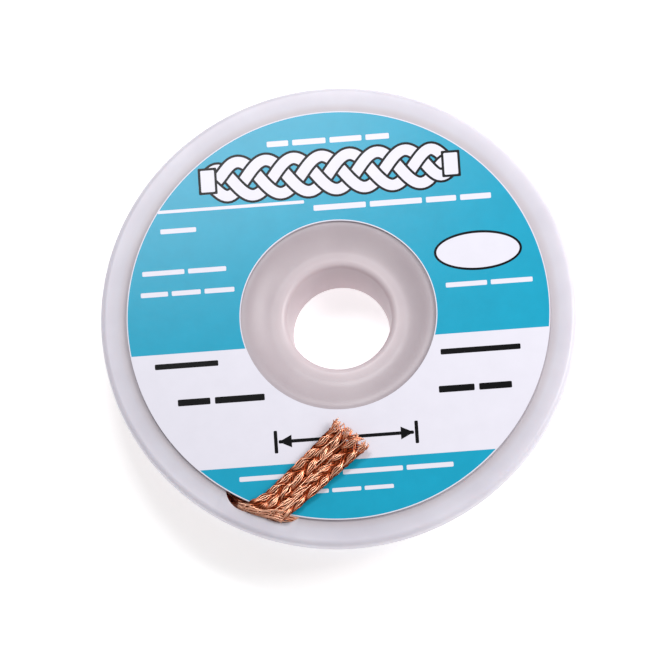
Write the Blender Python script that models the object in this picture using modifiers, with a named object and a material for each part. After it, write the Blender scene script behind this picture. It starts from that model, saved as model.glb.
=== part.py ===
"""Desoldering braid: a flat copper braid wound on a small moulded spool with a round paper label.

Metres, +Z up. The spool lies on its back flange with the label up. The origin is at the centre of the back
face, +X is the label's right and +Y the label's top.
"""

import math

import bmesh
import bpy
from mathutils import Vector

# Spool, moulded in one piece: a hub with a bore, and a flange at each end, the back one smaller
FLANGE_RADIUS = 0.01725
BACK_FLANGE_RADIUS = 0.0159
FLANGE_THICKNESS = 0.0014
FLANGE_EDGE_FILLET = 0.0004
WINDING_SPACE = 0.0032
HUB_RADIUS = 0.0062
HUB_FILLET = 0.0003
BORE_FRONT_RADIUS = 0.00382
BORE_BACK_RADIUS = 0.00345
BORE_MOUTH_FILLET = 0.0005
DISH_RADIUS = 0.0069
DISH_INNER_RADIUS = 0.0048
DISH_DEPTH = 0.0005

# Label, a paper ring stuck on the front flange
LABEL_OUTER_RADIUS = 0.01535
LABEL_INNER_RADIUS = 0.0071
LABEL_THICKNESS = 0.0001
LABEL_GAP = 0.0001

# Braid: the wound turns are one ring, the free end is a folded ribbon
BRAID_WIDTH = 0.0025
BRAID_THICKNESS = 0.00041
WINDING_OUTER_RADIUS = 0.0152
WINDING_END_FILLET = 0.0002
SEAT_GAP = 0.0003
EXIT_CLEARANCE = 0.00012

# Exit slot through the front flange, tangential at EXIT_ANGLE. Places along it are measured from that angle.
EXIT_ANGLE = math.radians(-113)
EXIT_GAP = 0.00015
SLOT_END_RADIUS = 0.00175
SLOT_START = -0.0035
SLOT_END = 0.0026

# Free end: where it crosses its fold, its bend, and its heading at distances along it from the fold. It is
# squeezed narrow in the slot and spreads towards its tip.
FOLD_OFFSET = -0.00005
FOLD_RADIUS = 0.00045
TAIL_REACH_BELOW_FLANGE = 0.0007
TAIL_END = 0.0087
TAIL_SQUEEZED_WIDTH = 0.00225
TAIL_TIP_WIDTH = 0.0028
TIP_LIFT = 0.0004
TIP_LIFT_START = 0.004
TAIL_HEADINGS = ((-0.0018, 85), (-0.0006, 52), (0.0003, 46), (0.0015, 62.5))

ROUND_STEPS = 72
FILLET_STEPS = 3
DISH_STEPS = 5
TAIL_STEPS = 72
TAIL_STRIPS = 10
SHARP_ANGLE = math.radians(35)

# Levels that several pieces share
SPOOL_HEIGHT = 2 * FLANGE_THICKNESS + WINDING_SPACE
BACK_INNER_FACE = FLANGE_THICKNESS
FRONT_INNER_FACE = FLANGE_THICKNESS + WINDING_SPACE
LABEL_BASE = SPOOL_HEIGHT + LABEL_GAP
LABEL_TOP = LABEL_BASE + LABEL_THICKNESS
TAIL_LEVEL = LABEL_TOP + EXIT_CLEARANCE + BRAID_THICKNESS / 2
TAIL_START = FRONT_INNER_FACE - TAIL_REACH_BELOW_FLANGE - TAIL_LEVEL

# Exit frame: the tail rises in a plane this far from the axis, then folds towards the axis
EXIT_DISTANCE = max(LABEL_OUTER_RADIUS, WINDING_OUTER_RADIUS) + EXIT_GAP + BRAID_THICKNESS / 2
OUTWARD = Vector((math.cos(EXIT_ANGLE), math.sin(EXIT_ANGLE), 0))
ALONG = Vector((-OUTWARD.y, OUTWARD.x, 0))


def new_collection(name):
    collection = bpy.data.collections.new(name)
    bpy.context.scene.collection.children.link(collection)
    return collection


def new_material(name, color, roughness, metallic=0.0, transmission=0.0):
    material = bpy.data.materials.new(name)
    material.use_nodes = True
    shader = material.node_tree.nodes["Principled BSDF"]
    shader.inputs["Base Color"].default_value = (*color, 1)
    shader.inputs["Roughness"].default_value = roughness
    shader.inputs["Metallic"].default_value = metallic
    shader.inputs["Transmission Weight"].default_value = transmission
    return material


def new_object(name, data, collection, material=None):
    piece = bpy.data.objects.new(name, data)
    collection.objects.link(piece)
    if material:
        data.materials.append(material)
    return piece


def fillet(corner, before, after, radius, steps=FILLET_STEPS):
    """Points of an arc that rounds the corner between its two neighbours."""
    corner, before, after = Vector(corner), Vector(before), Vector(after)
    to_before = (before - corner).normalized()
    to_after = (after - corner).normalized()
    half = to_before.angle(to_after) / 2
    setback = radius / math.tan(half)
    centre = corner + (to_before + to_after).normalized() * (radius / math.sin(half))
    start = corner + to_before * setback - centre
    turn = start.angle_signed(corner + to_after * setback - centre)
    arc = []
    for step in range(steps + 1):
        angle = -turn * step / steps
        arc.append(
            (
                centre.x + start.x * math.cos(angle) - start.y * math.sin(angle),
                centre.y + start.x * math.sin(angle) + start.y * math.cos(angle),
            )
        )
    return arc


def rounded(outline):
    """A closed outline of (radius, height, fillet) points, with each filleted corner replaced by its arc."""
    points = []
    for index, (radius, height, corner_fillet) in enumerate(outline):
        before = outline[index - 1]
        after = outline[(index + 1) % len(outline)]
        if corner_fillet:
            points += fillet((radius, height), before[:2], after[:2], corner_fillet)
        else:
            points.append((radius, height))
    return points


def turned(name, outline, collection, material):
    """A ring turned round Z from a closed outline that runs down its outer side."""
    profile = bmesh.new()
    corners = [profile.verts.new((radius, 0, height)) for radius, height in outline]
    for index, corner in enumerate(corners):
        profile.edges.new((corner, corners[(index + 1) % len(corners)]))
    mesh = bpy.data.meshes.new(name)
    profile.to_mesh(mesh)
    profile.free()
    piece = new_object(name, mesh, collection, material)
    screw = piece.modifiers.new("turn", "SCREW")
    screw.axis = "Z"
    screw.steps = ROUND_STEPS
    screw.render_steps = ROUND_STEPS
    screw.use_merge_vertices = True
    screw.merge_threshold = 0.000001
    screw.use_smooth_shade = False
    return piece


def cut(piece, cutter, name):
    boolean = piece.modifiers.new(name, "BOOLEAN")
    boolean.operation = "DIFFERENCE"
    boolean.solver = "EXACT"
    boolean.object = cutter


def dish(face, depth_sign):
    """The shallow dish of a flange face, from its rim inwards: (radius, height, fillet) points of a smooth step."""
    points = []
    for step in range(DISH_STEPS):
        share = step / DISH_STEPS
        radius = DISH_RADIUS + (DISH_INNER_RADIUS - DISH_RADIUS) * share
        drop = DISH_DEPTH * share * share * (3 - 2 * share)
        points.append((radius, face + depth_sign * drop, 0))
    return points


def make_spool(collection, cutters, material):
    front_mouth = (BORE_FRONT_RADIUS, SPOOL_HEIGHT - DISH_DEPTH, BORE_MOUTH_FILLET)
    back_mouth = (BORE_BACK_RADIUS, DISH_DEPTH, BORE_MOUTH_FILLET)
    outline = [
        (FLANGE_RADIUS, SPOOL_HEIGHT, FLANGE_EDGE_FILLET),
        (FLANGE_RADIUS, FRONT_INNER_FACE, FLANGE_EDGE_FILLET),
        (HUB_RADIUS, FRONT_INNER_FACE, HUB_FILLET),
        (HUB_RADIUS, BACK_INNER_FACE, HUB_FILLET),
        (BACK_FLANGE_RADIUS, BACK_INNER_FACE, FLANGE_EDGE_FILLET),
        (BACK_FLANGE_RADIUS, 0, FLANGE_EDGE_FILLET),
        *dish(0, 1),
        (DISH_INNER_RADIUS, DISH_DEPTH, 0),
        back_mouth,
        front_mouth,
        (DISH_INNER_RADIUS, SPOOL_HEIGHT - DISH_DEPTH, 0),
        *reversed(dish(SPOOL_HEIGHT, -1)),
    ]
    spool = turned("spool", rounded(outline), collection, material)
    cut(spool, slot_cutter(cutters), "exit slot")
    shade_round(spool)
    return spool


def slot_cutter(collection):
    """A flat outline with round ends, extruded through the front flange only."""
    outline = bpy.data.curves.new("slot", "CURVE")
    outline.dimensions = "2D"
    outline.fill_mode = "BOTH"
    outline.extrude = FLANGE_THICKNESS / 2 + WINDING_SPACE / 4
    half_steps = ROUND_STEPS // 6
    low, high = SLOT_START + SLOT_END_RADIUS, SLOT_END - SLOT_END_RADIUS
    points = []
    for centre, first in ((high, -90), (low, 90)):
        for step in range(half_steps + 1):
            angle = math.radians(first + 180 * step / half_steps)
            points.append((centre + SLOT_END_RADIUS * math.cos(angle), SLOT_END_RADIUS * math.sin(angle)))
    spline = outline.splines.new("POLY")
    spline.points.add(len(points) - 1)
    for point, (x, y) in zip(spline.points, points):
        point.co = (x, y, 0, 1)
    spline.use_cyclic_u = True

    drawn = new_object("slot outline", outline, collection)
    outer_side = EXIT_DISTANCE + BRAID_THICKNESS / 2 + EXIT_CLEARANCE
    drawn.location = OUTWARD * (outer_side - SLOT_END_RADIUS)
    drawn.location.z = FRONT_INNER_FACE + FLANGE_THICKNESS / 2
    drawn.rotation_euler.z = math.atan2(ALONG.y, ALONG.x)
    return as_mesh(drawn, "slot cutter", collection)


def as_mesh(drawn, name, collection):
    """The curve as a closed mesh in its place, hidden as a cutter."""
    bpy.context.view_layer.update()
    evaluated = drawn.evaluated_get(bpy.context.evaluated_depsgraph_get())
    mesh = bpy.data.meshes.new_from_object(evaluated)
    shell = bmesh.new()
    shell.from_mesh(mesh)
    bmesh.ops.remove_doubles(shell, verts=shell.verts, dist=0.000001)
    bmesh.ops.recalc_face_normals(shell, faces=shell.faces)
    shell.to_mesh(mesh)
    shell.free()
    cutter = new_object(name, mesh, collection)
    cutter.matrix_world = drawn.matrix_world
    bpy.data.objects.remove(drawn)
    cutter.hide_render = True
    cutter.display_type = "WIRE"
    return cutter


def make_label(collection, material):
    outline = [
        (LABEL_OUTER_RADIUS, LABEL_TOP),
        (LABEL_OUTER_RADIUS, LABEL_BASE),
        (LABEL_INNER_RADIUS, LABEL_BASE),
        (LABEL_INNER_RADIUS, LABEL_TOP),
    ]
    label = turned("label", outline, collection, material)
    shade_round(label)
    return label


def make_winding(collection, material):
    inner = HUB_RADIUS + SEAT_GAP
    low = (BACK_INNER_FACE + FRONT_INNER_FACE - BRAID_WIDTH) / 2
    high = low + BRAID_WIDTH
    outline = [
        (WINDING_OUTER_RADIUS, high, WINDING_END_FILLET),
        (WINDING_OUTER_RADIUS, low, WINDING_END_FILLET),
        (inner, low, WINDING_END_FILLET),
        (inner, high, WINDING_END_FILLET),
    ]
    winding = turned("braid_winding", rounded(outline), collection, material)
    shade_round(winding)
    return winding


def tail_heading(distance):
    """The tail's heading in its unfolded plane, in radians from ALONG, eased from one given heading to the next."""
    if distance <= TAIL_HEADINGS[0][0]:
        return math.radians(TAIL_HEADINGS[0][1])
    for (start, heading), (end, next_heading) in zip(TAIL_HEADINGS, TAIL_HEADINGS[1:]):
        if distance <= end:
            share = (distance - start) / (end - start)
            eased = share * share * (3 - 2 * share)
            return math.radians(heading + (next_heading - heading) * eased)
    return math.radians(TAIL_HEADINGS[-1][1])


def tail_width(distance):
    share = max(0.0, distance / TAIL_END)
    return TAIL_SQUEEZED_WIDTH + (TAIL_TIP_WIDTH - TAIL_SQUEEZED_WIDTH) * share


def tail_line():
    """Rows of (distance, along, up, heading) for the tail's middle line in its unfolded plane, from start to tip."""
    step = (TAIL_END - TAIL_START) / TAIL_STEPS
    rows = []
    along = up = 0.0
    for index in range(TAIL_STEPS + 1):
        distance = TAIL_START + step * index
        rows.append((distance, along, up, tail_heading(distance)))
        middle = tail_heading(distance + step / 2)
        along += step * math.cos(middle)
        up += step * math.sin(middle)
    fold = min(rows, key=lambda row: abs(row[0]))
    mid_bend = FOLD_RADIUS * math.pi / 4
    shift_along, shift_up = FOLD_OFFSET - fold[1], mid_bend - fold[2]
    return [(distance, a + shift_along, u + shift_up, heading) for distance, a, u, heading in rows]


def folded(along, up):
    """Takes a point of the unfolded plane over the quarter bend: upright below it, level above it."""
    quarter = FOLD_RADIUS * math.pi / 2
    base = TAIL_LEVEL - FOLD_RADIUS
    if up <= 0:
        inward, height = 0, base + up
    elif up < quarter:
        turn = up / FOLD_RADIUS
        inward = FOLD_RADIUS * (1 - math.cos(turn))
        height = base + FOLD_RADIUS * math.sin(turn)
    else:
        inward, height = FOLD_RADIUS + up - quarter, base + FOLD_RADIUS
    place = OUTWARD * (EXIT_DISTANCE - inward) + ALONG * along
    return Vector((place.x, place.y, height))


def make_tail(collection, material):
    """The braid's free end: up through the slot, folded over the label's edge and laid across the label."""
    ribbon = bmesh.new()
    bmesh.ops.create_grid(ribbon, x_segments=TAIL_STEPS, y_segments=TAIL_STRIPS, size=1)
    rows = tail_line()
    for vertex in ribbon.verts:
        row = rows[round((vertex.co.x + 1) / 2 * TAIL_STEPS)]
        distance, along, up, heading = row
        across = vertex.co.y * tail_width(distance) / 2
        lift = max(0.0, (distance - TIP_LIFT_START) / (TAIL_END - TIP_LIFT_START))
        vertex.co = folded(along - across * math.sin(heading), up + across * math.cos(heading))
        vertex.co.z += TIP_LIFT * lift * lift
    mesh = bpy.data.meshes.new("braid_tail")
    ribbon.to_mesh(mesh)
    ribbon.free()
    tail = new_object("braid_tail", mesh, collection, material)
    thick = tail.modifiers.new("thickness", "SOLIDIFY")
    thick.thickness = BRAID_THICKNESS
    thick.offset = 0
    shade_round(tail)
    return tail


def shade_round(piece):
    piece.data.shade_smooth()
    piece.data.set_sharp_from_angle(angle=SHARP_ANGLE)


def main():
    for old in list(bpy.data.objects):
        bpy.data.objects.remove(old)
    parts = new_collection("desoldering_braid")
    cutters = new_collection("cutters")
    milky_plastic = new_material("milky plastic", (0.80, 0.76, 0.80), 0.45, transmission=0.15)
    paper = new_material("printed paper", (0.05, 0.42, 0.62), 0.55)
    copper = new_material("copper braid", (0.72, 0.36, 0.22), 0.35, metallic=1.0)
    make_spool(parts, cutters, milky_plastic)
    make_label(parts, paper)
    make_winding(parts, copper)
    make_tail(parts, copper)


main()
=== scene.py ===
"""Looks of the desoldering braid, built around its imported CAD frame.

Metres, in the frame's axes: +Z along the bore from the back flange to the label, +X the label's right and
+Y the label's top. Lengths named MM_ are millimetres on the label.
"""

import math
import random

import bmesh
import bpy
import numpy as np
from mathutils import Matrix, Vector
from mathutils.geometry import delaunay_2d_cdt

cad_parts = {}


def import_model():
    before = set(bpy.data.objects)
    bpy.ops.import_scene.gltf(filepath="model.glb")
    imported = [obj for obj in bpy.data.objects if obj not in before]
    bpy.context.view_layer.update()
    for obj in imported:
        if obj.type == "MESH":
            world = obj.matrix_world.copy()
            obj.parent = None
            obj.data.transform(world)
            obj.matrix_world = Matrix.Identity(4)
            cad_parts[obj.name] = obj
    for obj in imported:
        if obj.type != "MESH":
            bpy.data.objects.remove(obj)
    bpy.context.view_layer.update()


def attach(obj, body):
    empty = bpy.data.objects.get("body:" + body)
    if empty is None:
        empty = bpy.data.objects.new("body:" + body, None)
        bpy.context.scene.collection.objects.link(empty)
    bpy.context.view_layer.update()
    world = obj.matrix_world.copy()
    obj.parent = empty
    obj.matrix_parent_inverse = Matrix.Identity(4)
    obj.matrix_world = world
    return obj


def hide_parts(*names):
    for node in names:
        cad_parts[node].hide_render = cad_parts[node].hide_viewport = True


# Sizes that repeat the CAD source
FLANGE_RADIUS = 0.01725
BACK_FLANGE_RADIUS = 0.0159
FLANGE_EDGE_FILLET = 0.0004
HUB_RADIUS = 0.0062
HUB_FILLET = 0.0003
BORE_FRONT_RADIUS = 0.00382
BORE_BACK_RADIUS = 0.00345
BORE_MOUTH_FILLET = 0.0005
DISH_RADIUS = 0.0069
DISH_INNER_RADIUS = 0.0048
DISH_DEPTH = 0.0005
SPOOL_HEIGHT = 0.006
FRONT_INNER_FACE = 0.0046
BACK_INNER_FACE = 0.0014
LABEL_OUTER_RADIUS = 0.01535
LABEL_INNER_RADIUS = 0.0071
LABEL_TOP = 0.0062
BRAID_WIDTH = 0.0025
BRAID_THICKNESS = 0.00041
WINDING_OUTER_RADIUS = 0.0152
SEAT_GAP = 0.0003
EXIT_ANGLE = math.radians(-113)
EXIT_DISTANCE = 0.015705
EXIT_CLEARANCE = 0.00012
SLOT_END_RADIUS = 0.00175
SLOT_START = -0.0035
SLOT_END = 0.0026
FOLD_OFFSET = -0.00005
FOLD_RADIUS = 0.00045
TAIL_LEVEL = 0.006525
TAIL_END = 0.0087
TAIL_SQUEEZED_WIDTH = 0.00225
TAIL_TIP_WIDTH = 0.0028
TIP_LIFT = 0.0004
TIP_LIFT_START = 0.004

# Fineness of the turned pieces
ROUND_STEPS = 288
FILLET_STEPS = 8
DISH_STEPS = 16
SHARP_ANGLE = math.radians(40)

# Camera, at the photograph's viewing angle
CAMERA_AIM = Vector((-0.001185, -0.000497, LABEL_TOP))
CAMERA_AZIMUTH = math.radians(6.65)
CAMERA_ELEVATION = math.radians(74.05)
CAMERA_ROLL = math.radians(10.6)
CAMERA_DISTANCE = 1.2
CAMERA_VIEW_WIDTH = 0.04667
CAMERA_SENSOR = 36.0
CAMERA_CLIP = (0.01, 10)


def fillet(corner, before, after, radius):
    """Points of an arc that rounds the corner between its two neighbours."""
    corner, before, after = Vector(corner), Vector(before), Vector(after)
    to_before = (before - corner).normalized()
    to_after = (after - corner).normalized()
    half = to_before.angle(to_after) / 2
    centre = corner + (to_before + to_after).normalized() * (radius / math.sin(half))
    setback = radius / math.tan(half)
    start = corner + to_before * setback - centre
    turn = start.angle_signed(corner + to_after * setback - centre)
    arc = []
    for step in range(FILLET_STEPS + 1):
        angle = -turn * step / FILLET_STEPS
        cosine, sine = math.cos(angle), math.sin(angle)
        x = centre.x + start.x * cosine - start.y * sine
        y = centre.y + start.x * sine + start.y * cosine
        arc.append((x, y))
    return arc


def rounded(outline):
    """The outline's points, with each corner that has a fillet rounded by it."""
    points = []
    for index, (radius, height, corner_fillet) in enumerate(outline):
        before, after = outline[index - 1], outline[(index + 1) % len(outline)]
        if corner_fillet:
            points += fillet((radius, height), before[:2], after[:2], corner_fillet)
        else:
            points.append((radius, height))
    return points


def revolved(name, outline):
    """A closed ring mesh, turned round Z from a closed outline of (radius, height) points."""
    count = len(outline)
    angles = [math.tau * step / ROUND_STEPS for step in range(ROUND_STEPS)]
    points = [(r * math.cos(a), r * math.sin(a), z) for a in angles for r, z in outline]
    faces = []
    for step in range(ROUND_STEPS):
        here, there = step * count, (step + 1) % ROUND_STEPS * count
        for index in range(count):
            following = (index + 1) % count
            faces.append((here + index, here + following, there + following, there + index))
    mesh = bpy.data.meshes.new(name)
    mesh.from_pydata(points, [], faces)
    face_outwards(mesh)
    return mesh


def face_outwards(mesh):
    shell = bmesh.new()
    shell.from_mesh(mesh)
    bmesh.ops.recalc_face_normals(shell, faces=shell.faces)
    shell.to_mesh(mesh)
    shell.free()


def add_piece(name, mesh, materials, slot, *replaced):
    """Adds a piece that rides with the object and stands for the CAD nodes named as replaced."""
    piece = bpy.data.objects.new(name, mesh)
    bpy.context.scene.collection.objects.link(piece)
    for material in materials:
        mesh.materials.append(material)
    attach(piece, "root")
    if replaced:
        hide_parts(*replaced)
    return piece


# Spool


def dish(face, sign):
    """The slope from a flange's face down to the dish's inner radius, without its last point."""
    points = []
    for step in range(DISH_STEPS):
        share = step / DISH_STEPS
        radius = DISH_RADIUS + (DISH_INNER_RADIUS - DISH_RADIUS) * share
        points.append((radius, face + sign * DISH_DEPTH * share * share * (3 - 2 * share), 0))
    return points


def spool_mesh():
    outline = [
        (FLANGE_RADIUS, SPOOL_HEIGHT, FLANGE_EDGE_FILLET),
        (FLANGE_RADIUS, FRONT_INNER_FACE, FLANGE_EDGE_FILLET),
        (HUB_RADIUS, FRONT_INNER_FACE, HUB_FILLET),
        (HUB_RADIUS, BACK_INNER_FACE, HUB_FILLET),
        (BACK_FLANGE_RADIUS, BACK_INNER_FACE, FLANGE_EDGE_FILLET),
        (BACK_FLANGE_RADIUS, 0, FLANGE_EDGE_FILLET),
        *dish(0, 1),
        (DISH_INNER_RADIUS, DISH_DEPTH, 0),
        (BORE_BACK_RADIUS, DISH_DEPTH, BORE_MOUTH_FILLET),
        (BORE_FRONT_RADIUS, SPOOL_HEIGHT - DISH_DEPTH, BORE_MOUTH_FILLET),
        (DISH_INNER_RADIUS, SPOOL_HEIGHT - DISH_DEPTH, 0),
        *reversed(dish(SPOOL_HEIGHT, -1)),
    ]
    return revolved("spool_moulding", rounded(outline))


OUTWARD = Vector((math.cos(EXIT_ANGLE), math.sin(EXIT_ANGLE), 0))
ALONG = Vector((-OUTWARD.y, OUTWARD.x, 0))
SLOT_STEPS = 32
SLOT_OVERRUN = 0.0008
SLOT_EDGE_ROUND = 0.00012
SLOT_EDGE_SEGMENTS = 3
SLOT_LOW, SLOT_HIGH = SLOT_START + SLOT_END_RADIUS, SLOT_END - SLOT_END_RADIUS
SLOT_MIDDLE = EXIT_DISTANCE + BRAID_THICKNESS / 2 + EXIT_CLEARANCE - SLOT_END_RADIUS
WELD = 0.000001
LEVEL_TOLERANCE = 0.000005
PLACE_TOLERANCE = 0.00001


def slot_outline():
    """The slot's round-ended outline, as points in the frame's XY plane."""
    points = []
    for centre, first in ((SLOT_HIGH, -90), (SLOT_LOW, 90)):
        for step in range(SLOT_STEPS + 1):
            angle = math.radians(first + 180 * step / SLOT_STEPS)
            along = centre + SLOT_END_RADIUS * math.cos(angle)
            outward = SLOT_MIDDLE - SLOT_END_RADIUS * math.sin(angle)
            points.append(OUTWARD * outward + ALONG * along)
    return points


def slot_cutter():
    """A prism on the slot's outline that reaches past both faces of the front flange."""
    points = slot_outline()
    count = len(points)
    low, high = FRONT_INNER_FACE - SLOT_OVERRUN, SPOOL_HEIGHT + SLOT_OVERRUN
    corners = [(p.x, p.y, z) for z in (low, high) for p in points]
    sides = [(i, (i + 1) % count, (i + 1) % count + count, i + count) for i in range(count)]
    mesh = bpy.data.meshes.new("slot_cutter")
    mesh.from_pydata(corners, [], [*sides, tuple(range(count)), tuple(range(count, 2 * count))])
    face_outwards(mesh)
    cutter = bpy.data.objects.new("slot_cutter", mesh)
    bpy.context.scene.collection.objects.link(cutter)
    return cutter


def cut_slot(mesh):
    """The spool's mesh with the exit slot cut through its front flange and the slot's edges rounded."""
    cutter = slot_cutter()
    blank = bpy.data.objects.new("spool_blank", mesh)
    bpy.context.scene.collection.objects.link(blank)
    boolean = blank.modifiers.new("slot", "BOOLEAN")
    boolean.operation, boolean.solver, boolean.object = "DIFFERENCE", "EXACT", cutter
    bpy.context.view_layer.update()
    graph = bpy.context.evaluated_depsgraph_get()
    result = bpy.data.meshes.new_from_object(blank.evaluated_get(graph))
    for used in (blank, cutter):
        bpy.data.objects.remove(used)
    result.materials.clear()
    round_slot_edges(result)
    result.name = "spool_moulding"
    return result


def on_slot(point):
    """True if a point lies on the slot's outline, seen from above."""
    along = point.dot(ALONG)
    beyond = along - min(max(along, SLOT_LOW), SLOT_HIGH)
    distance = math.hypot(beyond, point.dot(OUTWARD) - SLOT_MIDDLE)
    return abs(distance - SLOT_END_RADIUS) < PLACE_TOLERANCE


def round_slot_edges(mesh):
    """Rounds the edges of the slot on both faces of the front flange."""
    shell = bmesh.new()
    shell.from_mesh(mesh)
    bmesh.ops.remove_doubles(shell, verts=shell.verts, dist=WELD)
    rims = []
    for edge in shell.edges:
        height = edge.verts[0].co.z
        level = all(abs(vertex.co.z - height) < LEVEL_TOLERANCE for vertex in edge.verts)
        at_face = min(abs(height - face) for face in (FRONT_INNER_FACE, SPOOL_HEIGHT)) < PLACE_TOLERANCE
        if level and at_face and all(on_slot(vertex.co) for vertex in edge.verts):
            rims.append(edge)
    bmesh.ops.bevel(
        shell,
        geom=rims,
        offset=SLOT_EDGE_ROUND,
        segments=SLOT_EDGE_SEGMENTS,
        profile=0.5,
        affect="EDGES",
        clamp_overlap=True,
    )
    shell.to_mesh(mesh)
    shell.free()


def shade_round(piece):
    piece.data.shade_smooth()
    piece.data.set_sharp_from_angle(angle=SHARP_ANGLE)
    normals = piece.modifiers.new("weighted normals", "WEIGHTED_NORMAL")
    normals.keep_sharp = True


# Label. Print is a flat division of its upper face, and each area has its ink as its material.

WHITE, TURQUOISE, BLACK = 0, 1, 2
MM_PER_METRE = 1000
MM_OUTER = LABEL_OUTER_RADIUS * MM_PER_METRE
MM_INNER = LABEL_INNER_RADIUS * MM_PER_METRE
MM_BARE_EDGE = 0.07
MM_BAND_TOP = -2.03
MM_BAND_BOTTOM = -10.9
MM_OUTLINE = 0.18
MM_CORNER = 0.08
CORNER_STEPS = 3
CORNER_SHARE = 0.3
BAR_LENGTHS = (0.7, 1.3)
BAR_GAP_SHARE = 0.42
MM_BAR_GAP = 0.12
MM_LINE_HALF = 0.13
MM_HEAD_LENGTH = 0.95
MM_HEAD_HALF = 0.48
MM_MARK_BEYOND = 0.2
MM_MERGE = 0.0005


def box_area(left, bottom, right, top):
    """A bar with rounded corners."""
    radius = min(CORNER_SHARE * min(right - left, top - bottom), MM_CORNER)
    points = []
    for x, y, first in (
        (right - radius, top - radius, 0),
        (left + radius, top - radius, 90),
        (left + radius, bottom + radius, 180),
        (right - radius, bottom + radius, 270),
    ):
        for step in range(CORNER_STEPS + 1):
            angle = math.radians(first + 90 * step / CORNER_STEPS)
            points.append((x + radius * math.cos(angle), y + radius * math.sin(angle)))
    return points


def oval_area(x, y, half_width, half_height, steps=64):
    turns = [math.tau * step / steps for step in range(steps)]
    return [(x + half_width * math.cos(turn), y + half_height * math.sin(turn)) for turn in turns]


def circle_area(radius):
    return oval_area(0, 0, radius, radius, ROUND_STEPS)


def word_bars(ink, left, right, y, height, seed, words):
    """A line of plain bars in the place of a line of print."""
    draw = random.Random(seed)
    lengths = [draw.uniform(*BAR_LENGTHS) for _ in range(words)]
    gap = BAR_GAP_SHARE * height + MM_BAR_GAP
    scale = (right - left - gap * (words - 1)) / sum(lengths)
    areas, x = [], left
    for length in lengths:
        areas.append((ink, box_area(x, y - height / 2, x + length * scale, y + height / 2)))
        x += length * scale + gap
    return areas


PLAIT_PERIOD = 6.1
PLAIT_HEIGHT = 1.3
PLAIT_STROKE = 0.78
PLAIT_SECTIONS = 14
PLAIT_STRANDS = 3
SECTION_STEPS = 3
MM_SLOPE_STEP = 0.01
PLAIT_TAPER = 2.2
PLAIT_BAND = (0.5, 0.82)
PLAIT_BAND_INSET = 0.35
MM_PLAIT = (-9.2, 9.2, 10.75)


def plait_point(x, strand):
    turn = math.tau * (x / PLAIT_PERIOD + strand / PLAIT_STRANDS)
    left, right, _ = MM_PLAIT
    share = min(1, max(0, min(x - left, right - x) / PLAIT_TAPER))
    return PLAIT_HEIGHT * math.sin(turn) * share * (2 - share)


def plait_section(start, end, strand, half_width):
    """One short length of a strand, as an area with square ends."""
    sides = [[], []]
    for step in range(SECTION_STEPS + 1):
        x = start + (end - start) * step / SECTION_STEPS
        rise = plait_point(x + MM_SLOPE_STEP, strand) - plait_point(x - MM_SLOPE_STEP, strand)
        slope = rise / (2 * MM_SLOPE_STEP)
        norm = math.hypot(1, slope)
        y = plait_point(x, strand) + MM_PLAIT[2]
        for side, sign in zip(sides, (1, -1)):
            side.append((x - sign * half_width * slope / norm, y + sign * half_width / norm))
    return sides[0] + sides[1][::-1]


def plait_areas():
    """A plain three-strand plait, which stands in the place of the print's largest line."""
    left, right, _ = MM_PLAIT
    step = PLAIT_PERIOD / PLAIT_SECTIONS
    sections = []
    for strand in range(PLAIT_STRANDS):
        for index in range(round((right - left) / step)):
            start = left + index * step
            turn = math.tau * ((start + step / 2) / PLAIT_PERIOD + strand / PLAIT_STRANDS)
            sections.append((math.sin(2 * turn), start, start + step, strand))
    areas = []
    for _, start, end, strand in sorted(sections):
        areas.append((BLACK, plait_section(start, end, strand, PLAIT_STROKE / 2 + MM_OUTLINE)))
        areas.append((WHITE, plait_section(start, end, strand, PLAIT_STROKE / 2)))
    for x in (left + PLAIT_BAND_INSET, right - PLAIT_BAND_INSET):
        for ink, grown in ((BLACK, MM_OUTLINE), (WHITE, 0)):
            across, up = PLAIT_BAND[0] + grown, PLAIT_BAND[1] + grown
            areas.append((ink, box_area(x - across, MM_PLAIT[2] - up, x + across, MM_PLAIT[2] + up)))
    return areas


def width_sign(x, y, reach, height):
    """A double-headed arrow between two end marks, as drawings show a width."""
    half = MM_LINE_HALF
    areas = [(BLACK, box_area(x - reach, y - half, x + reach, y + half))]
    for side in (-1, 1):
        tip = x + side * reach
        back = tip - side * MM_HEAD_LENGTH
        areas.append((BLACK, [(tip, y), (back, y + MM_HEAD_HALF), (back, y - MM_HEAD_HALF)]))
        mark = tip + side * MM_MARK_BEYOND
        areas.append((BLACK, box_area(mark - half, y - height / 2, mark + half, y + height / 2)))
    return areas


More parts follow.
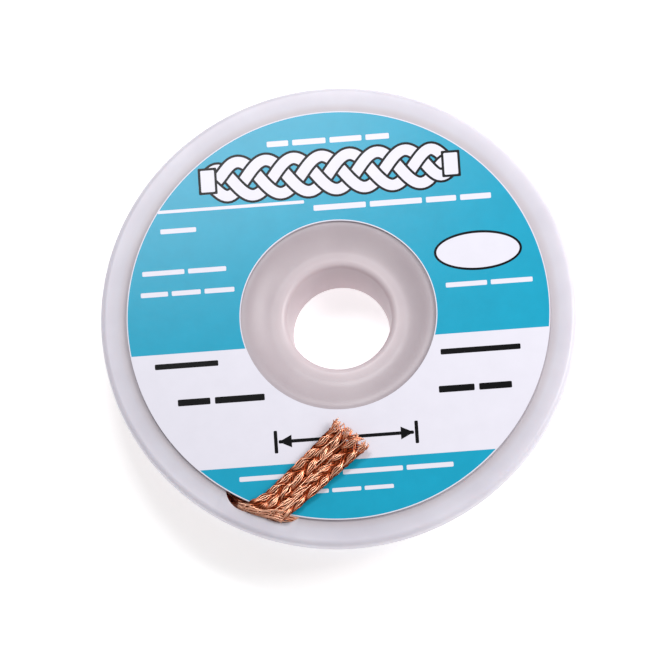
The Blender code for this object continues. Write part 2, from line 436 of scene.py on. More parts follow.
def print_areas():
    """Every printed area as (ink, outline), from the lowest to the topmost, at its place on the label.

    A line of bars is given as its ink, left, right, middle height, thickness, seed and number of bars.
    """
    wide = MM_OUTER + 1
    areas = [
        (TURQUOISE, [(-wide, MM_BAND_TOP), (wide, MM_BAND_TOP), (wide, wide), (-wide, wide)]),
        (TURQUOISE, [(-wide, -wide), (wide, -wide), (wide, MM_BAND_BOTTOM), (-wide, MM_BAND_BOTTOM)]),
    ]
    areas += word_bars(WHITE, -4.4, 4.5, 13.2, 0.42, 1, 4)
    areas += plait_areas()
    areas.append((WHITE, box_area(-12.62, 8.56, -1.96, 8.8)))
    areas += word_bars(WHITE, -1.3, 11.6, 8.15, 0.42, 2, 4)
    areas += word_bars(WHITE, -12.5, -9.9, 7.2, 0.36, 3, 1)
    areas += word_bars(WHITE, -14.0, -7.9, 4.1, 0.36, 4, 2)
    areas += word_bars(WHITE, -14.2, -7.4, 2.5, 0.36, 5, 3)
    areas.append((BLACK, oval_area(10.39, 4.08, 3.2, 1.49)))
    areas.append((WHITE, oval_area(10.39, 4.08, 3.2 - MM_OUTLINE, 1.49 - MM_OUTLINE)))
    areas += word_bars(WHITE, 7.9, 14.2, 1.62, 0.36, 6, 2)
    areas += word_bars(BLACK, -13.5, -8.9, -2.95, 0.42, 7, 1)
    areas += word_bars(BLACK, -12.0, -5.7, -5.75, 0.5, 8, 2)
    areas += word_bars(BLACK, 7.2, 13.0, -3.35, 0.42, 9, 1)
    areas += word_bars(BLACK, 6.9, 12.2, -6.15, 0.5, 10, 2)
    areas += width_sign(0, -9.2, 4.9, 1.7)
    areas += word_bars(WHITE, -7.9, 7.6, -11.8, 0.36, 11, 4)
    areas += word_bars(WHITE, -3.4, 3.2, -13.1, 0.3, 12, 3)
    return areas


def inside(points, outline):
    """For each point, whether it lies inside the outline."""
    x, y = points[:, 0], points[:, 1]
    found = np.zeros(len(points), bool)
    for (x0, y0), (x1, y1) in zip(outline, [*outline[1:], outline[0]]):
        crosses = (y0 > y) != (y1 > y)
        if y1 != y0:
            found ^= crosses & (x < (x1 - x0) * (y - y0) / (y1 - y0) + x0)
    return found


def printed_face():
    """The upper face's points, triangles and inks, divided along every print outline."""
    bare = [circle_area(MM_OUTER - MM_BARE_EDGE), circle_area(MM_INNER + MM_BARE_EDGE)]
    rims = [circle_area(MM_OUTER), circle_area(MM_INNER)]
    areas = print_areas()
    points, edges = [], []
    for outline in [*rims, *bare, *(outline for _, outline in areas)]:
        first = len(points)
        points += [Vector(p) for p in outline]
        count = len(outline)
        edges += [(first + i, first + (i + 1) % count) for i in range(count)]
    flat, _, triangles, _, _, _ = delaunay_2d_cdt(points, edges, [], 0, MM_MERGE)
    places = np.array([tuple(p) for p in flat])
    centres = np.array([places[list(t)].mean(axis=0) for t in triangles])
    kept = inside(centres, rims[0]) & ~inside(centres, rims[1])
    inks = np.full(len(triangles), WHITE)
    for ink, outline in areas:
        inks[inside(centres, outline)] = ink
    inks[~inside(centres, bare[0]) | inside(centres, bare[1])] = WHITE
    chosen = [tuple(t) for t, keep in zip(triangles, kept) if keep]
    return places, chosen, [int(ink) for ink, keep in zip(inks, kept) if keep]


def label_mesh():
    """A paper ring on the flange: the printed face, its two edges and its underside."""
    places, triangles, inks = printed_face()
    top, bottom = LABEL_TOP, SPOOL_HEIGHT
    shell = bmesh.new()
    corners = [shell.verts.new((x / MM_PER_METRE, y / MM_PER_METRE, top)) for x, y in places]
    for triangle, ink in zip(triangles, inks):
        face = shell.faces.new([corners[i] for i in triangle])
        face.material_index = ink
    bmesh.ops.delete(shell, geom=[v for v in shell.verts if not v.link_faces], context="VERTS")
    rim = [edge for edge in shell.edges if edge.is_boundary]
    made = bmesh.ops.extrude_edge_only(shell, edges=rim)["geom"]
    for part in made:
        if isinstance(part, bmesh.types.BMVert):
            part.co.z = bottom
        if isinstance(part, bmesh.types.BMFace):
            part.material_index = WHITE
    lower_edges = [edge for edge in shell.edges if edge.is_boundary]
    for face in bmesh.ops.bridge_loops(shell, edges=lower_edges)["faces"]:
        face.material_index = WHITE
    bmesh.ops.recalc_face_normals(shell, faces=shell.faces)
    mesh = bpy.data.meshes.new("paper_label")
    shell.to_mesh(mesh)
    shell.free()
    return mesh


# Braid. Bundles of wires go round a flattened tube, half each way, and cross in rows that run along it.

CARRIERS = 16
ROWS = 8
WIRES = 4
WIRE_RADIUS = 0.000047
WIRE_SIDES = 5
LAY_LENGTH = 0.0099
LAYER_LEVEL = 0.00014
LAYER_SWING = 0.00008
CROWN = 0.00007
BUNDLE_WIDTH = 0.00038
# The wires spread a little past the CAD ribbon's edges, more at the cut end
FOLD_SPREAD = 1.06
TIP_SPREAD = 1.11
PINCH = 0.55
STRAIGHTEN = 0.72
EDGE_STRAIGHTEN = 1.05
DIVE = 0.5
EDGE_SHADE = 0.45
LATERAL_SHADE = 0.35
OVERLAP = 0.25
EDGE_FROM = 0.4
EDGE_RAMP = 0.3
# The share of the tube's width that a bundle's spread is measured against
SPREAD_BASE = 0.88

OUTER_TURN_RADIUS = WINDING_OUTER_RADIUS - BRAID_THICKNESS / 2
TAIL_HEADINGS = ((-0.0066, 0), (-0.0018, 52), (-0.0004, 52), (0.0003, 46), (0.0015, 62.5))
TAIL_FIRST = TAIL_HEADINGS[0][0]
LINE_STEP = 0.00002
LINE_OVERRUN = 0.0006
SLOPE_STEP = 0.00001
NEAR_ALONG = -0.0006
NEAR_BEND = 0.009
MERGE_LENGTH = 0.0036


def heading_at(distance):
    """The tail's heading in its unfolded plane, eased from each listed one to the next."""
    if distance <= TAIL_HEADINGS[0][0]:
        return math.radians(TAIL_HEADINGS[0][1])
    for (start, heading), (end, following) in zip(TAIL_HEADINGS, TAIL_HEADINGS[1:]):
        if distance <= end:
            share = (distance - start) / (end - start)
            return math.radians(heading + (following - heading) * share * share * (3 - 2 * share))
    return math.radians(TAIL_HEADINGS[-1][1])


def tail_line():
    """Arrays of distance, along, up and heading for the tail's middle line in its unfolded plane."""
    distance = np.arange(TAIL_FIRST, TAIL_END + LINE_OVERRUN, LINE_STEP)
    heading = np.array([heading_at(d) for d in distance])
    middle = np.array([heading_at(d + LINE_STEP / 2) for d in distance])
    along = np.concatenate([[0], np.cumsum(LINE_STEP * np.cos(middle))[:-1]])
    up = np.concatenate([[0], np.cumsum(LINE_STEP * np.sin(middle))[:-1]])
    fold = int(np.argmin(np.abs(distance)))
    along += FOLD_OFFSET - along[fold]
    up += FOLD_RADIUS * math.pi / 4 - up[fold]
    return distance, along, up, heading


TAIL_LINE = tail_line()
TURN_PITCH = 0.00041
WINDING_MIDDLE = 0.003
# A little over one turn, so its start overlaps the end of the strip below
OUTER_TURNS = 1.02
OUTER_TURN_LENGTH = math.tau * OUTER_TURN_RADIUS * OUTER_TURNS
LAST_ANGLE = EXIT_ANGLE + math.asin(TAIL_LINE[1][0] / OUTER_TURN_RADIUS)


def tail_width(distance):
    share = np.maximum(0, distance / TAIL_END)
    spread = FOLD_SPREAD + (TIP_SPREAD - FOLD_SPREAD) * share
    return spread * (TAIL_SQUEEZED_WIDTH + (TAIL_TIP_WIDTH - TAIL_SQUEEZED_WIDTH) * share)


def distance_out(along):
    """How far from the axis the tail rises: with the outermost turn at first, then at the exit's distance."""
    past = np.minimum(0, along - NEAR_ALONG)
    near = EXIT_DISTANCE - past * past / (2 * NEAR_BEND)
    far = np.sqrt(np.maximum(OUTER_TURN_RADIUS**2 - along * along, 0))
    share = np.clip((along - TAIL_LINE[1][0]) / MERGE_LENGTH, 0, 1)
    return far + (near - far) * share * share * (3 - 2 * share)


def tail_surface(distance, across):
    """Points of the tail's middle surface, at distances along it and across it."""
    line = TAIL_LINE
    along = np.interp(distance, line[0], line[1])
    up = np.interp(distance, line[0], line[2])
    heading = np.interp(distance, line[0], line[3])
    lift = np.maximum(0, (distance - TIP_LIFT_START) / (TAIL_END - TIP_LIFT_START))
    place = folded(along - across * np.sin(heading), up + across * np.cos(heading))
    place[:, 2] += TIP_LIFT * lift * lift
    return place


def folded(along, up):
    """Where points of the tail's unfolded plane lie: upright below the crease, level past it."""
    quarter = FOLD_RADIUS * math.pi / 2
    turn = np.clip(up / FOLD_RADIUS, 0, math.pi / 2)
    inward = FOLD_RADIUS * (1 - np.cos(turn)) + np.maximum(0, up - quarter)
    height = TAIL_LEVEL - FOLD_RADIUS + np.minimum(0, up) + FOLD_RADIUS * np.sin(turn)
    place = np.outer(distance_out(along) - inward, OUTWARD) + np.outer(along, ALONG)
    place[:, 2] = height
    return place


def spiral_surface(distance, across):
    """The outermost turn's middle surface, which ends where the tail begins."""
    way = distance - TAIL_FIRST
    radius = OUTER_TURN_RADIUS + TURN_PITCH * way / (math.tau * OUTER_TURN_RADIUS)
    angle = LAST_ANGLE + way / OUTER_TURN_RADIUS
    return np.stack([radius * np.cos(angle), radius * np.sin(angle), WINDING_MIDDLE + across], axis=-1)


def braid_surface(distance, across):
    """The middle surface of the outermost turn and of the tail that goes on from it."""
    wound = distance < TAIL_FIRST
    return np.where(wound[:, None], spiral_surface(distance, across), tail_surface(distance, across))


def surface_frame(surface, distance, across):
    """Points of a surface with their unit normals."""
    run = surface_run(surface, distance, across)
    side = surface(distance, across + SLOPE_STEP) - surface(distance, across - SLOPE_STEP)
    return surface(distance, across), unit(np.cross(run, side))


def surface_run(surface, distance, across):
    """Which way a surface runs along its length."""
    return surface(distance + SLOPE_STEP, across) - surface(distance - SLOPE_STEP, across)


def unit(vectors):
    return vectors / np.maximum(np.linalg.norm(vectors, axis=-1, keepdims=True), 1e-12)


def flattened(share, width):
    """Places at shares of a flattened tube's outline: across, level, and the outward direction in both."""
    straight = width - 2 * LAYER_LEVEL
    bend = math.pi * LAYER_LEVEL
    length = 2 * (straight + bend)
    way = np.mod(share, 1) * length
    second = way >= straight + bend
    way = np.where(second, way - straight - bend, way)
    turn = np.clip((way - straight) / LAYER_LEVEL, 0, math.pi)
    across = straight / 2 - np.minimum(way, straight) - LAYER_LEVEL * np.sin(turn)
    level = LAYER_LEVEL * np.cos(turn)
    out_across, out_level = -np.sin(turn), np.cos(turn)
    flip = np.where(second, -1, 1)
    return across * flip, level * flip, out_across * flip, out_level * flip


FRAY_LENGTH = 0.001
FRAY_SPREAD = 0.03
TUFT_FROM = 0.6
TUFT_REACH = 0.00022


class Ripple:
    """How a strand strays: shift round the braid, rise, how frayed it is, and its lean where frayed."""

    def __init__(self, shift, rise, fray, lean):
        self.shift, self.rise, self.fray, self.lean = shift, rise, fray, lean

    def frayed(self, across, width):
        """How far fraying takes it sideways, with a tuft at the tip's left corner."""
        corner = np.clip((2 * across / width - TUFT_FROM) / (1 - TUFT_FROM), 0, 1)
        return self.fray * (across * FRAY_SPREAD + self.lean + TUFT_REACH * corner)


def strand_path(surface, distance, width, carrier, lateral, ripple):
    """Middle line of one wire over a braid's surface, with its outward direction and its height, which sets
    its painted shade.
    """
    way = 1 if carrier % 2 else -1
    waves = math.tau * ROWS / 2
    share = way * distance / LAY_LENGTH + (carrier // 2) * 2 / CARRIERS + ripple.shift
    turn = waves * share - math.pi / 4
    swing = 2 * np.clip((way * np.cos(turn) + OVERLAP) / (1 + OVERLAP), 0, 1) ** DIVE - 1
    spread = lateral * BUNDLE_WIDTH / 2 * (1 - PINCH * np.sin(turn) ** 2)
    from_middle = 2 * np.abs(flattened(share, width)[0]) / width
    near_edge = np.clip((from_middle - EDGE_FROM) / EDGE_RAMP, 0, 1)
    straighten = STRAIGHTEN + (EDGE_STRAIGHTEN - STRAIGHTEN) * near_edge
    share = share - way * straighten * np.sin(turn) / waves + way * spread / (2 * width * SPREAD_BASE)
    across, level, out_across, out_level = flattened(share, width)
    offset = LAYER_SWING * swing - CROWN * lateral * lateral * (0.5 + 0.5 * swing) + ripple.rise
    across = across + out_across * offset
    across = across + ripple.frayed(across, width)
    level = level + out_level * offset
    point, normal = surface_frame(surface, distance, across)
    side = unit(np.cross(normal, surface_run(surface, distance, across)))
    outward = unit(normal * out_level[:, None] + side * out_across[:, None])
    # Height that the material turns into painted shade: lower where the wire dips under, at a bundle's sides
    # and where it faces sideways at the tube's edges
    height = 0.5 + 0.5 * swing - LATERAL_SHADE * lateral * lateral - EDGE_SHADE * np.abs(out_across)
    return point + normal * level[:, None], outward, np.clip(height, 0, 1)


END_TAPER = 0.5


def tube(points, outward, half_width, half_height, sides, first):
    """Rings of a tube along a line, closed and narrowed at both ends: its vertices and its faces."""
    run = unit(np.gradient(points, axis=0))
    side = unit(np.cross(outward, run))
    out = np.cross(run, side)
    turns = np.arange(sides) * math.tau / sides
    taper = np.ones((len(points), 1, 1))
    taper[0] = taper[-1] = END_TAPER
    rings = points[:, None, :] + taper * (
        side[:, None, :] * (half_width * np.cos(turns))[None, :, None]
        + out[:, None, :] * (half_height * np.sin(turns))[None, :, None]
    )
    count = len(points)
    ring = np.arange(count - 1)[:, None] * sides
    here, there = np.arange(sides)[None, :], (np.arange(sides)[None, :] + 1) % sides
    quads = np.stack([ring + here, ring + there, ring + sides + there, ring + sides + here], axis=-1)
    faces = (quads.reshape(-1, 4) + first).tolist()
    last = (count - 1) * sides + first
    faces += [list(range(first, first + sides))[::-1], list(range(last, last + sides))]
    return rings.reshape(-1, 3), faces


class Strands:
    """Collects tubes into one mesh, with a tone, a lane and a height at each point for its material; the tone
    carries painted light and shade besides its random tone, and the height sets painted shade.
    """

    def __init__(self):
        self.points, self.faces, self.tones, self.lanes, self.heights = [], [], [], [], []
        self.count = 0

    def add(self, points, outward, height, half_width, half_height, sides, tone):
        made, faces = tube(points, outward, half_width, half_height, sides, self.count)
        self.points.append(made)
        self.faces += faces
        self.tones.append(np.repeat(np.broadcast_to(tone, len(points)), sides))
        self.lanes.append(np.tile(np.cos(np.arange(sides) * math.tau / sides), len(points)))
        self.heights.append(np.repeat(height, sides))
        self.count += len(made)

    def mesh(self, name):
        mesh = bpy.data.meshes.new(name)
        mesh.from_pydata(np.concatenate(self.points).tolist(), [], self.faces)
        for attribute, values in (("tone", self.tones), ("lane", self.lanes), ("height", self.heights)):
            stored = mesh.attributes.new(attribute, "FLOAT", "POINT")
            stored.data.foreach_set("value", np.concatenate(values).astype(np.float32))
        mesh.shade_smooth()
        return mesh


FIRST_SEED = 20
TAIL_SAMPLE = 0.00009
OUTER_SAMPLE = 0.00018
TAIL_OVERRUN = 0.0005
STRAY_SHARE = 0.3
STRAY_LOOSENESS = 3.2
TIP_SLANT = 0.14
END_SCATTER = (-0.0004, 0.00006)
FRAY_RISE = (-0.00002, 0.00014)
FRAY_LEAN = 0.00005
MIDDLE_TONE = 0.54
BUNDLE_TONE = 0.16
WIRE_TONE = 0.45
LIT_TONE = 0.3
LIT_HEIGHT = 0.85
HOLLOW_SHADE = 0.85
BUNDLE_SHIFT = 0.013

# Sways of a strand, each as its size and its shortest and longest length
BUNDLE_SWAY = (0.011, 0.0006, 0.0012)
BUNDLE_RIPPLE = (0.005, 0.0002, 0.0004)
BUNDLE_RISE = (0.000016, 0.0004, 0.0009)
WIRE_SWAY = (0.0055, 0.0004, 0.001)
WIRE_RISE = (0.000014, 0.0002, 0.0007)
TONE_SWAY = (0.2, 0.0001, 0.0004)
LOOSE_SWAY = (0.00006, 0.0005, 0.001)
LOOSE_RISE = (0.00005, 0.0003, 0.0006)
CREASE_SWAY = (0.00005, 0.0003, 0.0007)
CREASE_RISE = (0.00004, 0.0003, 0.0006)

LOOSE_WIRES = 9
LOOSE_REACH = 0.9
LOOSE_START = (-0.0005, TAIL_END - 0.002)
LOOSE_LENGTH = (0.0015, 0.003)
LOOSE_LIFT = 0.9
LOOSE_THICKNESS = 0.9
LOOSE_TONE = (0.3, 0.9)
TOP_HEIGHT = 0.9
INNER_BANDS = 7
INNER_BAND_REACH = 0.78
INNER_BAND_HALF_WIDTH = 0.00021
# The inner bands' painted shade
INNER_BAND_HEIGHT = 0.1
INNER_BAND_TONE = 0.35
CREASE_DEPTH = 0.0003
CREASE_WIRES = 6
CREASE_WIRE_LEVEL = 0.00045
CREASE_WIRE_GAP = 0.00013
CREASE_ENDS = (-0.0021, 0.0013)
CREASE_SAMPLES = 60
CREASE_SLANT = 0.12
CREASE_MIDDLE = -0.0004
CREASE_TONE = (0.55, 1.0)
CREASE_MARGIN = 1.3
# Place of the painted shadow just inside the crease
HOLLOW_START = -0.00015
HOLLOW_SLANT = -0.13
HOLLOW_REACH = 0.00017


def wave(draw, distance, size, shortest, longest, times=1.0):
    """A slow random sway along a strand."""
    return size * times * np.sin(distance / draw.uniform(shortest, longest) + draw.uniform(0, math.tau))


def add_loose_wires(strands, draw, reach):
    """Short lengths of single wires that have come loose and lie nearly straight along the tail."""
    for _ in range(LOOSE_WIRES):
        place = draw.uniform(-LOOSE_REACH, LOOSE_REACH)
        start = draw.uniform(*LOOSE_START)
        end = min(start + draw.uniform(*LOOSE_LENGTH), TAIL_END)
        distance = reach[(reach > start) & (reach < end)]
        across = place * tail_width(distance) / 2 + wave(draw, distance, *LOOSE_SWAY)
        level = LAYER_LEVEL + LAYER_SWING * LOOSE_LIFT + wave(draw, distance, *LOOSE_RISE)
        points, normal = surface_frame(tail_surface, distance, across)
        height = np.full(len(distance), TOP_HEIGHT)
        tone = draw.uniform(*LOOSE_TONE)
        lifted = points + normal * np.reshape(level, (-1, 1))
        radius = WIRE_RADIUS * LOOSE_THICKNESS
        strands.add(lifted, normal, height, radius, radius, WIRE_SIDES, tone)


def add_inner_bands(strands, reach):
    """Flat dark bands inside the flattened tube, which close the view through its gaps; their darkness is
    painted shade.
    """
    distance = reach[reach < TAIL_END - FRAY_LENGTH]
    height = np.full(len(distance), INNER_BAND_HEIGHT)
    for place in np.linspace(-INNER_BAND_REACH, INNER_BAND_REACH, INNER_BANDS):
        points, normal = surface_frame(tail_surface, distance, place * tail_width(distance) / 2)
        strands.add(points, normal, height, INNER_BAND_HALF_WIDTH, WIRE_RADIUS, WIRE_SIDES, INNER_BAND_TONE)


def tip_place(carrier):
    """How far across the tail's middle line a bundle lies at the tip."""
    way = 1 if carrier % 2 else -1
    share = way * TAIL_END / LAY_LENGTH + (carrier // 2) * 2 / CARRIERS
    return float(flattened(np.array([share]), TAIL_TIP_WIDTH)[0][0])


def crease_share(points):
    """One where the tail rises to its crease and nought where it lies over the label: where the wires get
    painted light.
    """
    in_slot = np.clip((points[:, 2] - FRONT_INNER_FACE) / CREASE_DEPTH, 0, 1)
    outward = points @ np.array(OUTWARD)
    return in_slot * np.clip((outward - EXIT_DISTANCE) / CREASE_DEPTH + CREASE_MARGIN, 0, 1)


def crease_shadow_share(points):
    """One along a painted shadow just inside the crease, where the fold would leave a dip in shade, which
    nears the crease towards the tail's right edge.
    """
    along, outward = points @ np.array(ALONG), points @ np.array(OUTWARD)
    depth = EXIT_DISTANCE + HOLLOW_START - HOLLOW_SLANT * along - outward
    above = np.clip((points[:, 2] - SPOOL_HEIGHT) / CREASE_DEPTH, 0, 1)
    return np.exp(-((depth / HOLLOW_REACH) ** 2)) * above


def add_crease_wires(strands, draw):
    """Single wires along the outside of the crease."""
    along = np.linspace(*CREASE_ENDS, CREASE_SAMPLES)
    height = np.full(len(along), TOP_HEIGHT)
    out_and_up = np.array(OUTWARD + Vector((0, 0, 1)))
    for wire in range(CREASE_WIRES):
        up = CREASE_WIRE_LEVEL - CREASE_WIRE_GAP * wire + wave(draw, along, *CREASE_SWAY)
        up = up + CREASE_SLANT * (along - CREASE_MIDDLE)
        points = folded(along, up)
        run, side = folded(along + LINE_STEP, up) - points, folded(along, up + LINE_STEP) - points
        normal = unit(np.cross(run, side))
        outer = LAYER_LEVEL + LAYER_SWING + wave(draw, along, *CREASE_RISE)
        raised = points + normal * np.sign(normal @ out_and_up)[:, None] * outer[:, None]
        tone = draw.uniform(*CREASE_TONE)
        strands.add(raised, normal, height, WIRE_RADIUS, WIRE_RADIUS, WIRE_SIDES, tone)


class Bundle:
    """One bundle of wires: its carrier, its tone, and how it strays along its whole length."""

    def __init__(self, draw, reach, carrier):
        self.carrier = carrier
        self.tone = draw.uniform(-BUNDLE_TONE, BUNDLE_TONE)
        shift = draw.uniform(-BUNDLE_SHIFT, BUNDLE_SHIFT) + wave(draw, reach, *BUNDLE_SWAY)
        self.shift = shift + wave(draw, reach, *BUNDLE_RIPPLE)
        self.rise = wave(draw, reach, *BUNDLE_RISE)


def add_wire(draw, reach, bundle, lateral, parts):
    """One wire of a bundle, from the winding to the frayed tip, in each mesh that it runs through."""
    loose = STRAY_LOOSENESS if draw.random() < STRAY_SHARE else 1.0
    end = TAIL_END - TIP_SLANT * tip_place(bundle.carrier) + draw.uniform(*END_SCATTER)
    distance = reach[reach < end]
    count = len(distance)
    shift = bundle.shift[:count] + wave(draw, distance, *WIRE_SWAY, loose)
    rise = bundle.rise[:count] + wave(draw, distance, *WIRE_RISE, loose)
    fray = np.clip((distance - end + FRAY_LENGTH) / FRAY_LENGTH, 0, 1) ** 2
    rise = rise + fray * draw.uniform(*FRAY_RISE)
    ripple = Ripple(shift, rise, fray, draw.uniform(-FRAY_LEAN, FRAY_LEAN))
    width = tail_width(distance)
    points, outward, height = strand_path(braid_surface, distance, width, bundle.carrier, lateral, ripple)
    # Painted light on the crease's outside and the frayed tip, and a painted shadow just inside the crease
    lit = np.maximum(fray, crease_share(points))
    crease_shadow = crease_shadow_share(points)
    tone = MIDDLE_TONE + bundle.tone + draw.uniform(-WIRE_TONE, WIRE_TONE) + wave(draw, distance, *TONE_SWAY)
    tone = tone + LIT_TONE * lit - LIT_TONE * crease_shadow
    height = (height + (LIT_HEIGHT - height) * lit) * (1 - HOLLOW_SHADE * crease_shadow)
    for strands, part in parts:
        line = points[part], outward[part], height[part]
        strands.add(*line, WIRE_RADIUS, WIRE_RADIUS, WIRE_SIDES, tone[part])


def braid_meshes(half):
    """The wires that go one way round the braid: the tail's as one mesh, the outermost turn's as another."""
    draw = random.Random(FIRST_SEED + half)
    tail, turn = Strands(), Strands()
    wound = np.arange(TAIL_FIRST - OUTER_TURN_LENGTH, TAIL_FIRST, OUTER_SAMPLE)
    free = np.arange(TAIL_FIRST, TAIL_END + TAIL_OVERRUN, TAIL_SAMPLE)
    reach = np.concatenate([wound, free])
    parts = ((turn, slice(0, len(wound) + 2)), (tail, slice(len(wound) - 1, None)))
    for carrier in range(half, CARRIERS, 2):
        bundle = Bundle(draw, reach, carrier)
        for lateral in np.linspace(-1, 1, WIRES):
            add_wire(draw, reach, bundle, lateral, parts)
    add_loose_wires(tail, draw, free)
    if half == 0:
        add_inner_bands(tail, free)
        add_crease_wires(tail, draw)
    return tail.mesh(f"braid_tail_wires_{half + 1}"), turn.mesh(f"braid_outer_turn_{half + 1}")


# The turns below the outermost one

TURN_STEPS = 180
QUICK_SWAY, QUICK_SWAY_RATE = 0.00006, 2.7
SLOW_SWAY, SLOW_SWAY_RATE = 0.00005, 0.37
STRIP_SIDES = 8
STRIP_HALF_WIDTH = BRAID_WIDTH / 2 - 0.00008
STRIP_HALF_THICKNESS = BRAID_THICKNESS * 0.47
STRIP_HEIGHT = 0.5
STRIP_TONE = 0.4
STRIP_RIDGES = 3.5


def inner_turns_mesh():
    """The turns below the outermost one, as one long strip with rounded edges wound into a spiral."""
    inner = HUB_RADIUS + SEAT_GAP + BRAID_THICKNESS / 2
    outer = OUTER_TURN_RADIUS - TURN_PITCH
    turns = (outer - inner) / TURN_PITCH
    steps = round(turns * TURN_STEPS)
    share = np.linspace(0, 1, steps + 1)
    angle = LAST_ANGLE + (share - 1) * turns * math.tau
    radius = inner + (outer - inner) * share
    sway = QUICK_SWAY * np.sin(angle * QUICK_SWAY_RATE) + SLOW_SWAY * np.sin(angle * SLOW_SWAY_RATE + 1)
    points = np.stack([radius * np.cos(angle), radius * np.sin(angle), WINDING_MIDDLE + sway], axis=-1)
    outward = np.stack([np.cos(angle), np.sin(angle), np.zeros(len(angle))], axis=-1)
    strands = Strands()
    height = np.full(len(angle), STRIP_HEIGHT)
    strands.add(points, outward, height, STRIP_HALF_WIDTH, STRIP_HALF_THICKNESS, STRIP_SIDES, STRIP_TONE)
    return strands.mesh("braid_inner_turns")


# Materials


class Shader:
    """A material's node tree, with short calls for the nodes used here."""

    def __init__(self, name):
        self.material = bpy.data.materials.new(name)
        self.material.use_nodes = True
        self.tree = self.material.node_tree
        self.surface = self.tree.nodes["Principled BSDF"]
        self.place = self.node("ShaderNodeTexCoord").outputs["Object"]

    def node(self, kind, **settings):
        made = self.tree.nodes.new(kind)
        for key, value in settings.items():
            setattr(made, key, value)
        return made

    def set(self, **values):
        for key, value in values.items():
            self.surface.inputs[key.replace("_", " ")].default_value = value

    def join(self, source, target):
        self.tree.links.new(source, target)

    def noise(self, scale, detail=3.0, roughness=0.5):
        made = self.node("ShaderNodeTexNoise")
        made.inputs["Scale"].default_value = scale
        made.inputs["Detail"].default_value = detail
        made.inputs["Roughness"].default_value = roughness
        self.join(self.place, made.inputs["Vector"])
        return made.outputs["Fac"]

    def math(self, operation, first, second=0.0):
        made = self.node("ShaderNodeMath", operation=operation)
        for socket, value in zip(made.inputs, (first, second)):
            if isinstance(value, (int, float)):
                socket.default_value = value
            else:
                self.join(value, socket)
        return made.outputs[0]

    def ramp(self, source, *stops):
        made = self.node("ShaderNodeValToRGB")
        elements = made.color_ramp.elements
        while len(elements) < len(stops):
            elements.new(0.5)
        for element, (position, color) in zip(elements, stops):
            element.position = position
            element.color = (*color, 1)
        self.join(source, made.inputs["Fac"])
        return made.outputs["Color"]

    def product(self, first, second):
        """One colour times another."""
        made = self.node("ShaderNodeMix", data_type="RGBA", blend_type="MULTIPLY")
        made.inputs[0].default_value = 1.0
        self.join(first, made.inputs[6])
        self.join(second, made.inputs[7])
        return made.outputs[2]

    def bump(self, height, strength, distance):
        made = self.node("ShaderNodeBump")
        made.inputs["Strength"].default_value = strength
        made.inputs["Distance"].default_value = distance
        self.join(height, made.inputs["Height"])
        self.join(made.outputs["Normal"], self.surface.inputs["Normal"])

    def radius(self):
        """Distance from the bore's axis, in metres."""
        parts = self.node("ShaderNodeSeparateXYZ")
        self.join(self.place, parts.inputs[0])
        squares = [self.math("MULTIPLY", parts.outputs[i], parts.outputs[i]) for i in (0, 1)]
        return self.math("SQRT", self.math("ADD", *squares))


def plastic():
    """Milky plastic that lets light in, with painted light and shade for each distance from the axis and a
    faint grain.
    """
    shader = Shader("milky_plastic_moulded")
    radius = shader.math("DIVIDE", shader.radius(), FLANGE_RADIUS)
    # Painted light and shade by radius: a painted highlight on the bore's lip, shade deepening towards the
    # label's inner edge, darker and pinker just outside the label where the winding's shade shows through,
    # and lighter towards the open outer rim
    painted_light_by_radius = shader.ramp(
        radius,
        (0.215, (0.64, 0.54, 0.57)),
        (0.235, (0.66, 0.575, 0.605)),
        (0.262, (0.59, 0.51, 0.54)),
        (0.33, (0.54, 0.47, 0.50)),
        (0.40, (0.45, 0.385, 0.415)),
        (0.60, (0.54, 0.48, 0.51)),
        (0.905, (0.55, 0.50, 0.54)),
        (0.93, (0.62, 0.60, 0.665)),
        (1.00, (0.705, 0.685, 0.76)),
    )
    cloud = shader.ramp(shader.noise(260, 3), (0.35, (0.93, 0.92, 0.93)), (0.65, (1, 1, 1)))
    color = shader.product(painted_light_by_radius, cloud)
    shader.join(color, shader.surface.inputs["Base Color"])
    shader.set(Subsurface_Weight=0.55, Subsurface_Scale=0.0012, Roughness=0.36, IOR=1.49)
    shader.surface.inputs["Subsurface Radius"].default_value = (1.0, 0.85, 0.8)
    shader.bump(shader.noise(900, 2), 0.08, 0.00004)
    return shader.material


def paper(name, color, dull, gloss):
    """Printed paper, mottled between its colour and a darker one."""
    shader = Shader(name)
    cloud = shader.ramp(shader.noise(700, 4, 0.6), (0.3, tuple(dull * c for c in color)), (0.7, color))
    shader.join(cloud, shader.surface.inputs["Base Color"])
    shader.set(Roughness=0.2, IOR=1.5, Specular_IOR_Level=gloss)
    shader.bump(shader.noise(2600, 4, 0.65), 0.12, 0.00002)
    return shader.material


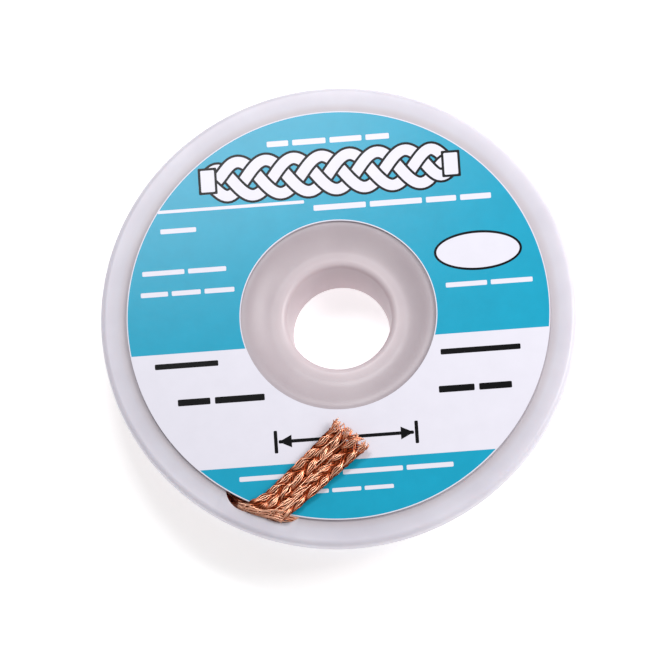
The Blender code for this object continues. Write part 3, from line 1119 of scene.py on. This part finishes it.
def copper(name, bundled):
    """Bare copper, brighter with tone, with painted shade where its height is low, as in recesses, and with
    ridges for wires if bundled.
    """
    shader = Shader(name)
    tone = shader.node("ShaderNodeAttribute", attribute_name="tone").outputs["Fac"]
    # The third value of this node stays at its default
    mottle = shader.math("MULTIPLY_ADD", shader.noise(1500, 3, 0.6), 0.55)
    varied = shader.math("ADD", tone, mottle)
    # The tone holds random variation, with painted light at the crease and the frayed tip and a painted
    # shadow just inside the crease
    color = shader.ramp(
        varied,
        (0.30, (0.58, 0.17, 0.08)),
        (0.60, (0.96, 0.38, 0.205)),
        (0.95, (1.0, 0.57, 0.39)),
    )
    height = shader.node("ShaderNodeAttribute", attribute_name="height").outputs["Fac"]
    # Painted shade, darker where the height is low: in recesses, at the tube's edges, on the inner bands and
    # just inside the crease
    painted_shade = shader.ramp(height, (0.05, (0.24, 0.07, 0.03)), (0.45, (0.80, 0.50, 0.38)), (0.8, (1, 1, 1)))
    color = shader.product(color, painted_shade)
    shader.join(color, shader.surface.inputs["Base Color"])
    shader.set(Metallic=1.0, Roughness=0.32)
    if bundled:
        lane = shader.node("ShaderNodeAttribute", attribute_name="lane").outputs["Fac"]
        ridge = shader.math("SINE", shader.math("MULTIPLY", lane, STRIP_RIDGES * math.tau))
        shader.bump(ridge, 0.6, 0.00003)
    else:
        shader.bump(shader.noise(9000, 2), 0.15, 0.000008)
    return shader.material


# Stage

FLOOR_LEVEL = -0.00002
FLOOR_REACH = 1.5
WORLD_STRENGTH = 0.42


def add_stage():
    mesh = bpy.data.meshes.new("floor")
    signs = ((-1, -1), (1, -1), (1, 1), (-1, 1))
    corners = [(x * FLOOR_REACH, y * FLOOR_REACH, FLOOR_LEVEL) for x, y in signs]
    mesh.from_pydata(corners, [], [(0, 1, 2, 3)])
    floor = bpy.data.objects.new("floor", mesh)
    bpy.context.scene.collection.objects.link(floor)
    shader = Shader("floor_white")
    shader.set(Base_Color=(0.93, 0.93, 0.935, 1), Roughness=0.9, Emission_Strength=0.5)
    shader.surface.inputs["Emission Color"].default_value = (1, 1, 1, 1)
    mesh.materials.append(shader.material)


def add_light(name, azimuth, elevation, distance, size, power, color):
    """A square soft light, aimed at the object. Azimuth is measured from +X, in degrees."""
    light = bpy.data.lights.new(name, "AREA")
    light.shape, light.size, light.energy, light.color = "SQUARE", size, power, color
    lamp = bpy.data.objects.new(name, light)
    a, e = math.radians(azimuth), math.radians(elevation)
    direction = Vector((math.cos(a) * math.cos(e), math.sin(a) * math.cos(e), math.sin(e)))
    lamp.location = direction * distance
    lamp.rotation_mode = "QUATERNION"
    lamp.rotation_quaternion = direction.to_track_quat("Z", "Y")
    lamp.visible_camera = False
    bpy.context.scene.collection.objects.link(lamp)


def add_lights():
    world = bpy.data.worlds.new("studio")
    world.use_nodes = True
    background = world.node_tree.nodes["Background"]
    background.inputs["Color"].default_value = (1.0, 1.0, 1.0, 1)
    background.inputs["Strength"].default_value = WORLD_STRENGTH
    bpy.context.scene.world = world
    add_light("key", 8, 44, 0.155, 0.07, 0.137, (1.0, 0.99, 0.98))
    add_light("top", 104, 63.5, 0.133, 0.036, 0.058, (0.98, 0.99, 1.0))


def add_camera():
    data = bpy.data.cameras.new("camera")
    data.sensor_width = CAMERA_SENSOR
    data.lens = CAMERA_SENSOR * CAMERA_DISTANCE / CAMERA_VIEW_WIDTH
    data.clip_start, data.clip_end = CAMERA_CLIP
    camera = bpy.data.objects.new("camera", data)
    bpy.context.scene.collection.objects.link(camera)
    azimuth, level = CAMERA_AZIMUTH, math.cos(CAMERA_ELEVATION)
    back = Vector((math.sin(azimuth) * level, -math.cos(azimuth) * level, math.sin(CAMERA_ELEVATION)))
    right = Vector((math.cos(azimuth), math.sin(azimuth), 0))
    up = back.cross(right)
    turned_right = right * math.cos(CAMERA_ROLL) - up * math.sin(CAMERA_ROLL)
    turned_up = right * math.sin(CAMERA_ROLL) + up * math.cos(CAMERA_ROLL)
    rows = [(turned_right[i], turned_up[i], back[i]) for i in range(3)]
    camera.matrix_world = Matrix(rows).to_4x4()
    camera.location = CAMERA_AIM + back * CAMERA_DISTANCE
    bpy.context.scene.camera = camera


def add_spool():
    mesh = cut_slot(spool_mesh())
    shade_round(add_piece("spool_moulding", mesh, [plastic()], "milky_plastic", "spool"))


def add_label():
    inks = [
        paper("label_paper", (0.785, 0.765, 0.855), 0.97, 0.15),
        paper("label_turquoise", (0.006, 0.355, 0.545), 0.93, 0.2),
        paper("label_black", (0.005, 0.005, 0.006), 0.7, 0.08),
    ]
    add_piece("paper_label", label_mesh(), inks, "printed_paper", "label")


def add_braid():
    wire = copper("copper_wire", False)
    strip = copper("copper_bundle", True)
    replaced = (["braid_tail"], ["braid_winding"]), ([], [])
    for half, (tail_node, turn_node) in enumerate(replaced):
        tail, turn = braid_meshes(half)
        add_piece(tail.name, tail, [wire], "copper_braid", *tail_node)
        add_piece(turn.name, turn, [wire], "copper_braid", *turn_node)
    add_piece("braid_inner_turns", inner_turns_mesh(), [strip], "copper_braid")


def main():
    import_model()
    bpy.context.scene.view_settings.view_transform = "Standard"
    add_camera()
    add_spool()
    add_label()
    add_braid()
    add_stage()
    add_lights()


main()
